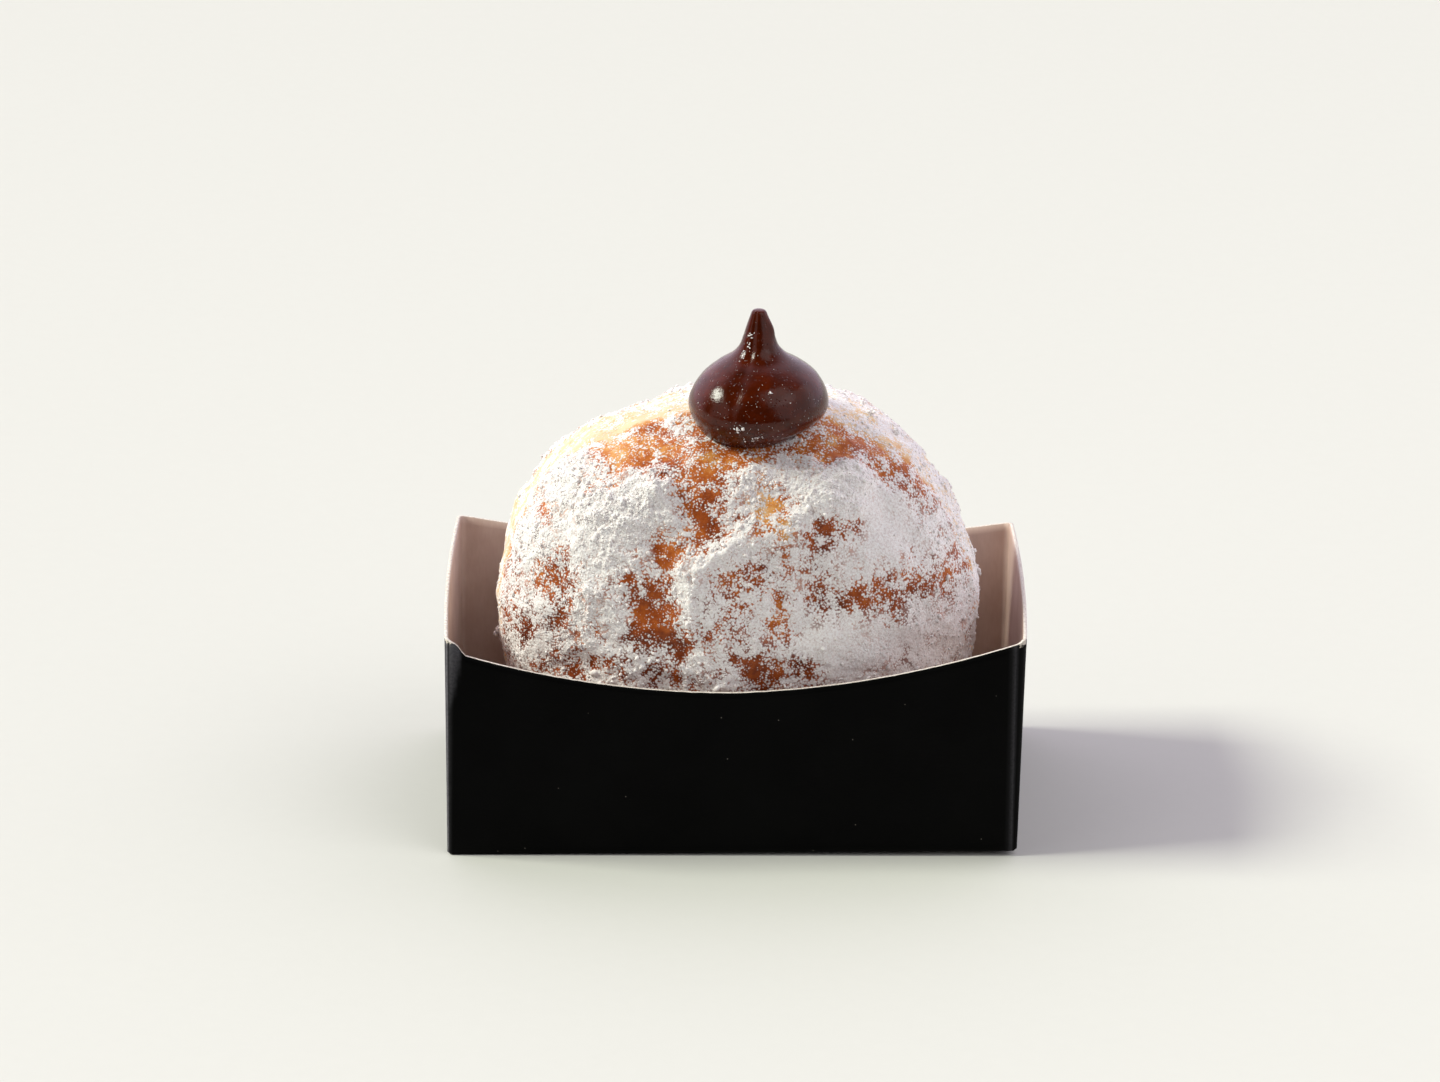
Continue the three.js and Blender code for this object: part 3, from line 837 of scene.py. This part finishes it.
def smooth_path(points, count):
    """count + 1 places evenly spaced along a smooth curve through the points."""
    points = np.array(points, float)
    padded = np.concatenate([points[:1], points, points[-1:]])
    dense = []
    for index in range(len(points) - 1):
        before, start, end, after = padded[index:index + 4]
        share = np.linspace(0, 1, CURVE_STEPS, endpoint=False)[:, None]
        speed_in, speed_out = (end - before) / 2, (after - start) / 2
        dense.append(
            (2 * start - 2 * end + speed_in + speed_out) * share ** 3
            + (-3 * start + 3 * end - 2 * speed_in - speed_out) * share ** 2
            + speed_in * share + start
        )
    dense = np.concatenate(dense + [points[-1:]])
    run = np.concatenate([[0], np.cumsum(np.linalg.norm(np.diff(dense, axis=0), axis=1))])
    even = np.linspace(0, run[-1], count + 1)
    return np.stack([np.interp(even, run, dense[:, 0]), np.interp(even, run, dense[:, 1])], axis=1)


DROP_RINGS = 150
DROP_STEPS = 320
# Where the cream lapped over its first ring, low on the right
FOLD_TURN = math.radians(-50)
FOLD_REACH = 0.7
FOLD_HEIGHT = -4.6
FOLD_WIDTH = 0.6
FOLD_DEPTH = 0.05
# A small fin that the nozzle left on the right of the point
FIN_TURN = math.radians(-15)
FIN_WIDTH = 0.35
FIN_HEIGHT = 13.5
FIN_REACH = 1.6
FIN_DEPTH = 0.35
# Strength, size and seed of the soft dents all over
DENT_NOISE = (0.10, 5, 21)
# The left shoulder is flatter than the rest, which spreads the shine of the key light on it
SHOULDER_TURN = math.radians(-150)
SHOULDER_HEIGHT = 6.4
SHOULDER_REACH = 3.0
SHOULDER_DEPTH = 0.6
SHOULDER_NARROWNESS = 1.6
# Down the belly, which ends between these heights, the crease is only this share as wide and as deep
BELLY_FROM, BELLY_TO = 1, 7
BELLY_CREASE_WIDTH = 0.25
BELLY_CREASE_DEPTH = 0.05


def drop_surface(radius, height, turn):
    """Points of the piped drop for a profile place and a turn about its axis."""
    top, bottom = DROP_PROFILE[-1][1], DROP_PROFILE[0][1]
    shift = np.where(
        height[..., None] > 0,
        POINT_SHIFT * ((height / top) ** 2)[..., None],
        UNDERSIDE_SHIFT * ((height / bottom) ** 2)[..., None],
    )
    above_belly = smoothstep(height, BELLY_FROM, BELLY_TO)
    width = CREASE_WIDTH * mix(BELLY_CREASE_WIDTH, 1, above_belly)
    depth = CREASE_DEPTH * mix(BELLY_CREASE_DEPTH, 1, above_belly)
    crease = depth * np.exp(-((turn - CREASE_TURN) / width) ** 2)
    fold = FOLD_DEPTH * np.exp(-((turn - FOLD_TURN) / FOLD_REACH) ** 2)
    crease = crease + fold * np.exp(-((height - FOLD_HEIGHT) / FOLD_WIDTH) ** 2)
    lobe = LEFT_LOBE_SWELL * np.exp(-((turn - LEFT_LOBE_TURN) / LEFT_LOBE_WIDTH) ** 2)
    fin = -((turn - FIN_TURN) / FIN_WIDTH) ** 2 - ((height - FIN_HEIGHT) / FIN_REACH) ** 2
    fin = FIN_DEPTH * np.exp(fin)
    shoulder = SHOULDER_DEPTH * np.exp(SHOULDER_NARROWNESS * (np.cos(turn - SHOULDER_TURN) - 1))
    shoulder = shoulder * np.exp(-((height - SHOULDER_HEIGHT) / SHOULDER_REACH) ** 2)
    reach = radius * (1 - crease + lobe) + (fin - shoulder) * (radius > 0)
    way = np.stack([np.cos(turn), np.sin(turn)], axis=-1)
    plan = DROP_AXIS + shift + way * reach[..., None]
    return np.concatenate([plan, (DROP_WIDEST_HEIGHT + height)[..., None]], axis=-1)


def make_drop(material):
    """The piped drop of chocolate cream, closed at its underside and its point."""
    profile = smooth_path(DROP_PROFILE, DROP_RINGS)[1:-1]
    turn = np.linspace(-math.pi, math.pi, DROP_STEPS, endpoint=False)
    radius, turns = np.meshgrid(profile[:, 0], turn, indexing="ij")
    height = np.meshgrid(profile[:, 1], turn, indexing="ij")[0]
    points = drop_surface(radius, height, turns).reshape(-1, 3)
    middle = points.mean(axis=0)
    points = points + unit(points - middle) * grain_mix(points, DENT_NOISE)[:, None]
    rings = len(profile)
    under = drop_surface(np.zeros(1), np.array([DROP_PROFILE[0][1]], float), np.zeros(1))
    tip = drop_surface(np.zeros(1), np.array([DROP_PROFILE[-1][1]], float), np.zeros(1))
    faces = ring_faces(rings, DROP_STEPS).tolist()
    first, last = rings * DROP_STEPS, rings * DROP_STEPS + 1
    for step in range(DROP_STEPS):
        after = (step + 1) % DROP_STEPS
        faces.append((first, after, step))
        faces.append(((rings - 1) * DROP_STEPS + step, (rings - 1) * DROP_STEPS + after, last))
    points = np.concatenate([points, under, tip])
    return add_mesh("piped_chocolate", points, np.array(faces, dtype=object), [material])


FRONT_TURN = math.radians(-90)
# Clusters of specks: turn and height, their spreads, how many, and the size of one. The last is the
# fine dust all over the front.
SPECK_CLUSTERS = (
    (CREASE_TURN - 0.2, 12.8, 0.16, 1.1, 16, 0.14), (CREASE_TURN - 0.35, 9.4, 0.1, 0.8, 9, 0.13),
    (FRONT_TURN - 0.30, -1.5, 0.05, 0.35, 12, 0.18), (FRONT_TURN - 0.05, -3.3, 0.14, 0.4, 9, 0.13),
    (FRONT_TURN + 0.20, 4.8, 0.02, 0.1, 5, 0.15), (FRONT_TURN, 0, 0.9, 5.0, 260, 0.05),
)
SPECK_SEED = 7
SPECK_PROFILE_STEPS = 400
SPECK_SPREAD = 0.3
SPECK_HEIGHTS = (-8, 15)
# Outward is level but for this much up or down, so that specks near the point don't stand on end
SPECK_TILT = 4


def make_specks(material):
    """Grains of sugar that have stuck to the chocolate, most along the crease below the point."""
    rng = np.random.default_rng(SPECK_SEED)
    profile = smooth_path(DROP_PROFILE, SPECK_PROFILE_STEPS)
    places, sizes = [], []
    for turn, height, turn_spread, height_spread, count, size in SPECK_CLUSTERS:
        turns = rng.normal(turn, turn_spread, count)
        heights = np.clip(rng.normal(height, height_spread, count), *SPECK_HEIGHTS)
        radii = np.interp(heights, profile[:, 1], profile[:, 0])
        places.append(drop_surface(radii, heights, turns))
        sizes.append(size * np.exp(SPECK_SPREAD * rng.normal(size=count)))
    places, sizes = np.concatenate(places), np.concatenate(sizes)
    outward = places - np.array((DROP_AXIS[0], DROP_AXIS[1], DROP_WIDEST_HEIGHT))
    outward[:, 2] = np.clip(outward[:, 2], -SPECK_TILT, SPECK_TILT)
    return scatter_grains("sugar_specks", places, unit(outward), sizes, material, rng)


# Tray

LONG_STEPS = 150
SHORT_STEPS = 60
FOLD_STEPS = 12
WALL_LEVELS = 26
# Strength, size and seed of the small waves along the rim
RIM_NOISE = (0.05, 1.1, 31)
# The cut edge is this much higher in its middle
EDGE_CROWN = 0.03
# Painted sheen: how grey the coat is painted on each station round the front left fold, in stripes where
# raking light catches the side wall, and round the front right one, a thin painted highlight down the fold
LEFT_FOLD_SHEEN = (0.5, 0.55, 0.5, 0.15, 0.55, 0.6, 0.2, 0.08)
RIGHT_FOLD_HIGHLIGHT = (0.03, 0.16, 0.08, 0.04)
# A soft grey strip, a painted reflection of the bright table, runs down from the rim beside the left fold.
# It narrows and fades by these powers on its way, and ends a little round the corner.
STRIP_LENGTH = 13.0
STRIP_WIDTH = 2.4
STRIP_EDGE = 0.8
STRIP_GREY = 0.32
STRIP_NARROWING, STRIP_FADING = 0.5, 0.7
STRIP_ROUND_CORNER = 4.5
# A faint grey of painted sheen follows that fold all the way down, and fades out between these distances
# from it
FOLD_GREY = 0.06
FOLD_GREY_FROM, FOLD_GREY_TO = 0.6, 1.8
# The coat is rubbed along the rim, and torn at the corners of the rim and, less, of the foot
RIM_WEAR, RIM_WEAR_REACH = 0.35, 0.25
CORNER_SIZE = 1.2
RIGHT_TORN, LEFT_TORN = 0.9, 0.5
TORN_REACH = 0.8
FOOT_TORN_SHARE, FOOT_TORN_REACH = 0.8, 1.0


def rounded_rectangle(half_x, half_y, radius):
    """Plan of the wall at one level, anticlockwise from the front left fold."""
    corners = ((-1, -1), (1, -1), (1, 1), (-1, 1))
    straight = (LONG_STEPS, SHORT_STEPS, LONG_STEPS, SHORT_STEPS)
    outline = []
    for index, (sign_x, sign_y) in enumerate(corners):
        first_turn = math.pi * (1 + index / 2)
        centre = np.array((sign_x * (half_x - radius), sign_y * (half_y - radius)))
        for step in range(FOLD_STEPS + 1):
            turn = first_turn + step / FOLD_STEPS * math.pi / 2
            outline.append(centre + radius * np.array((math.cos(turn), math.sin(turn))))
        next_x, next_y = corners[(index + 1) % 4]
        next_centre = np.array((next_x * (half_x - radius), next_y * (half_y - radius)))
        start = outline[-1]
        end = start - centre + next_centre
        outline += [mix(start, end, step / straight[index]) for step in range(1, straight[index])]
    return np.array(outline)


RIM_PLAN = rounded_rectangle(TRAY_LENGTH / 2, TRAY_DEPTH / 2, FOLD_AT_RIM)


def rim_height():
    """Height of the cut rim at each station of the plan."""
    across = RIM_PLAN[:, 0] / (TRAY_LENGTH / 2)
    along = RIM_PLAN[:, 1] / (TRAY_DEPTH / 2)
    front = mix(CORNER_RISE["front_left"], CORNER_RISE["front_right"], (across + 1) / 2)
    back = mix(CORNER_RISE["back_left"], CORNER_RISE["back_right"], (across + 1) / 2)
    level = TRAY_HEIGHT + mix(front, back, (along + 1) / 2)
    past_fold = smoothstep(np.abs(RIM_PLAN[:, 1]), TRAY_DEPTH / 2 - FOLD_AT_RIM, TRAY_DEPTH / 2)
    arc = 1 - across ** 2
    from_left_fold = TRAY_LENGTH / 2 - FOLD_AT_RIM + RIM_PLAN[:, 0]
    sag = FRONT_SAG * np.where(across < 0, smoothstep(from_left_fold, 0, LEFT_DROP_LENGTH), 1 - across)
    dip = np.where(along > 0, BACK_ARC_DIP * arc, FRONT_ARC_DIP * arc + sag)
    return level - past_fold * dip


def wall_ring(heights, inset):
    """Points of the wall at a height for each station, moved in from the outer face by inset."""
    rise = heights / TRAY_HEIGHT
    low = rounded_rectangle(TRAY_LENGTH / 2 - inset, TRAY_DEPTH / 2 - inset, FOLD_AT_FOOT - inset)
    high = rounded_rectangle(TRAY_LENGTH / 2 - inset, TRAY_DEPTH / 2 - inset, FOLD_AT_RIM - inset)
    plan = mix(low, high, rise[:, None])
    across = plan[:, 0] / (TRAY_LENGTH / 2)
    along = plan[:, 1] / (TRAY_DEPTH / 2)
    lean = np.maximum(across, 0) * RIGHT_WALL_LEAN * rise
    bulge = across * SIDE_WALL_BULGE * rise * (1 - along ** 2)
    return np.stack([plan[:, 0] + lean + bulge + TRAY_SHIFT_X, plan[:, 1], heights], axis=1)


def make_tray(outside, inside, edge):
    """The folded tray: coated outside, bare inside, with a cut edge between."""
    stations = len(RIM_PLAN)
    rim_places = np.concatenate([RIM_PLAN, np.zeros((stations, 1))], axis=1)
    rim = rim_height() + grain_mix(rim_places, RIM_NOISE)
    toward_right = RIM_PLAN[:, 0] / TRAY_LENGTH + 0.5
    toward_front = smoothstep(-RIM_PLAN[:, 1], TRAY_DEPTH / 2 - FOOT_LIFT_DEPTH, TRAY_DEPTH / 2)
    lift = FOOT_LIFT * toward_right * toward_front
    shares = np.linspace(0, 1, WALL_LEVELS + 1)
    outer = [wall_ring(lift, FOOT_CHAMFER)]
    outer += [wall_ring(mix(FOOT_CHAMFER + lift, rim, share), 0) for share in shares]
    edge_ring = [wall_ring(rim + EDGE_CROWN, BOARD / 2)]
    inner = [wall_ring(mix(BOARD + lift, rim, share), BOARD) for share in shares[::-1]]
    outer.insert(0, outer[0] * (FLAT_FLOOR_SHARE, FLAT_FLOOR_SHARE, 0))
    inner.append(inner[-1] * (FLAT_FLOOR_SHARE, FLAT_FLOOR_SHARE, 0) + (0, 0, BOARD))
    rings = outer + edge_ring + inner
    points = np.concatenate(rings)
    faces = ring_faces(len(rings), stations).tolist()
    ring_slots = [0] * (len(outer) - 1) + [2, 2] + [1] * (len(inner) - 1)
    slots = np.repeat(ring_slots, stations).tolist()
    last = (len(rings) - 1) * stations
    faces.append(list(range(stations))[::-1])
    faces.append([last + step for step in range(stations)])
    slots += [0, 1]
    wear, painted_sheen = tray_wear_and_sheen(outer, rim, len(rings))
    return add_mesh(
        "folded_tray", points, np.array(faces, dtype=object), [outside, inside, edge], slots,
        attributes={"wear": wear.ravel(), "painted_sheen": painted_sheen.ravel()},
    )


def tray_wear_and_sheen(outer, rim, ring_count):
    """How torn the coat is, and how grey it is painted as sheen and reflection, at each point of the outer
    rings.
    """
    wear, painted_sheen = np.zeros((2, ring_count, len(rim)))
    corner = np.abs(RIM_PLAN[:, 0]) > TRAY_LENGTH / 2 - CORNER_SIZE
    corner = corner & (np.abs(RIM_PLAN[:, 1]) > TRAY_DEPTH / 2 - CORNER_SIZE)
    torn = corner * np.where(RIM_PLAN[:, 0] > 0, RIGHT_TORN, LEFT_TORN)
    strip_end = TRAY_DEPTH / 2 - STRIP_ROUND_CORNER
    in_front = smoothstep(-RIM_PLAN[:, 1], strip_end, TRAY_DEPTH / 2 - FOLD_AT_RIM)
    from_left = RIM_PLAN[:, 0] + TRAY_LENGTH / 2
    right_fold = FOLD_STEPS + LONG_STEPS - 1
    for index, ring in enumerate(outer):
        below_rim = rim - ring[:, 2]
        wear[index] = RIM_WEAR * np.exp(-(below_rim / RIM_WEAR_REACH) ** 2)
        at_foot = FOOT_TORN_SHARE * np.exp(-(ring[:, 2] / FOOT_TORN_REACH) ** 2)
        wear[index] += torn * (np.exp(-(below_rim / TORN_REACH) ** 2) + at_foot)
        left_over = np.clip(1 - below_rim / STRIP_LENGTH, 0, 1)
        reach = STRIP_WIDTH * left_over ** STRIP_NARROWING
        strip = 1 - smoothstep(from_left, reach, reach + STRIP_EDGE)
        strip = STRIP_GREY * left_over ** STRIP_FADING * strip
        strip += FOLD_GREY * (1 - smoothstep(from_left, FOLD_GREY_FROM, FOLD_GREY_TO))
        # The strip and the fold's faint grey are painted reflection and painted sheen
        painted_sheen[index] = strip * in_front
        painted_sheen[index, :len(LEFT_FOLD_SHEEN)] = LEFT_FOLD_SHEEN
        painted_sheen[index, right_fold:right_fold + len(RIGHT_FOLD_HIGHLIGHT)] = RIGHT_FOLD_HIGHLIGHT
    return wear, painted_sheen


# Stage, lights and camera

TABLE_REACH = 4000
# The table ends just past the lower edge of the picture, so that the dark room in front is what the
# chocolate mirrors
TABLE_FRONT = -168
# What the lights face
LIT_PLACE = Vector((0, 0, 40 * MM))
ROOM_LIGHT = (0.05, 0.047, 0.049, 1)
WALL_LIGHT = (1.30, 1.18, 1.42, 1)
# How far back a direction has to point for the wall to begin to show there, and to show in full
WALL_FROM, WALL_TO = -0.05, 0.6


def make_table(material):
    """The table top, which is stage and no part of the object."""
    corners = [
        (-TABLE_REACH, TABLE_FRONT, 0), (TABLE_REACH, TABLE_FRONT, 0), (TABLE_REACH, TABLE_REACH, 0),
        (-TABLE_REACH, TABLE_REACH, 0),
    ]
    table = add_mesh("table", corners, np.array([(0, 1, 2, 3)]), [material], smooth=False)


def add_light(name, azimuth, elevation, width, height, brightness, colour, distance):
    """A soft box that faces the doughnut. Azimuth 0 is the viewer's side and 90 the right. Brightness
    is what it gives a white board that faces it, and its size is seen in degrees."""
    light = bpy.data.lights.new(name, "AREA")
    light.shape = "RECTANGLE"
    light.size = 2 * distance * math.tan(math.radians(width / 2))
    light.size_y = 2 * distance * math.tan(math.radians(height / 2))
    light.energy = brightness * math.pi ** 2 * distance ** 2
    light.color = colour
    lamp = bpy.data.objects.new(name, light)
    turn, rise = math.radians(azimuth), math.radians(elevation)
    way = Vector((math.sin(turn) * math.cos(rise), -math.cos(turn) * math.cos(rise), math.sin(rise)))
    lamp.location = LIT_PLACE + way * distance
    lamp.rotation_euler = way.to_track_quat("Z", "Y").to_euler()
    bpy.context.scene.collection.objects.link(lamp)


def set_world():
    """A bright wall behind the table, and a dim room on the viewer's side."""
    world = bpy.data.worlds.new("studio")
    world.use_nodes = True
    tree = world.node_tree
    tree.nodes.clear()
    way = add_node(tree, "TexCoord", output="Generated")
    back = add_node(tree, "SeparateXYZ", {"Vector": way}, output="Y")
    inputs = {"Value": back, "From Min": WALL_FROM, "From Max": WALL_TO}
    share = add_node(tree, "MapRange", inputs, interpolation_type="SMOOTHSTEP")
    inputs = {0: share, FIRST_COLOUR: ROOM_LIGHT, SECOND_COLOUR: WALL_LIGHT}
    colour = add_node(tree, "Mix", inputs, output=MIXED_COLOUR, data_type="RGBA")
    background = add_node(tree, "Background", {"Color": colour})
    add_node(tree, "OutputWorld", {"Surface": background})
    bpy.context.scene.world = world


def set_camera():
    """The camera at the photo's viewing angle."""
    lens = bpy.data.cameras.new("camera")
    lens.lens = LENS
    lens.clip_end = 100
    camera = bpy.data.objects.new("camera", lens)
    rise = math.radians(CAMERA_ELEVATION)
    back = Vector((0, -math.cos(rise), math.sin(rise)))
    camera.location = (Vector(CAMERA_TARGET) + back * CAMERA_DISTANCE) * MM
    level = Matrix.Rotation(math.pi / 2 - rise, 4, "X")
    roll = Matrix.Rotation(math.radians(CAMERA_ROLL), 4, "Z")
    camera.rotation_euler = (level @ roll).to_euler()
    bpy.context.scene.collection.objects.link(camera)
    bpy.context.scene.camera = camera


# Made in this order: camera, pieces, stage and lights

set_camera()
# The plain transform, so that colours come out as they are set
bpy.context.scene.view_settings.view_transform = "Standard"

sugar = icing_sugar()
crust, crust_places, sugar_amount, sugar_clotted = make_crust(sugared_fried_crust())
clumps = make_clumps(crust, crust_places, sugar_amount, sugar_clotted, sugar)
drop = make_drop(dark_chocolate_cream())
specks = make_specks(sugar)
tray = make_tray(black_coated_board(), brown_board_inside(), cut_board_edge())

for piece, slot in (
    (crust, "sugared_crust"), (clumps, "icing_sugar"), (drop, "chocolate"), (specks, "icing_sugar"),
    (tray, "card_tray"),
):
    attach(piece, "root")
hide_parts("doughnut")
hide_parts("chocolate_drop")
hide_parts("card_tray")

make_table(pale_table())
set_world()
# The key is far off on the left. The cards fill the front, and the high one lights the ledge that lies
# in the drop's shadow.
add_light("key", -90, 41, width=22, height=13, brightness=1.07, colour=(0.98, 1.0, 0.87), distance=20)
add_light("right_card", 71, 16, width=82, height=56, brightness=0.54, colour=(1, 0.96, 0.99), distance=3)
add_light("high_card", 45, 52, width=44, height=34, brightness=0.20, colour=(1, 0.99, 1), distance=3)
add_light("left_card", -58, 18, width=36, height=50, brightness=0.13, colour=(1, 0.98, 0.97), distance=3)
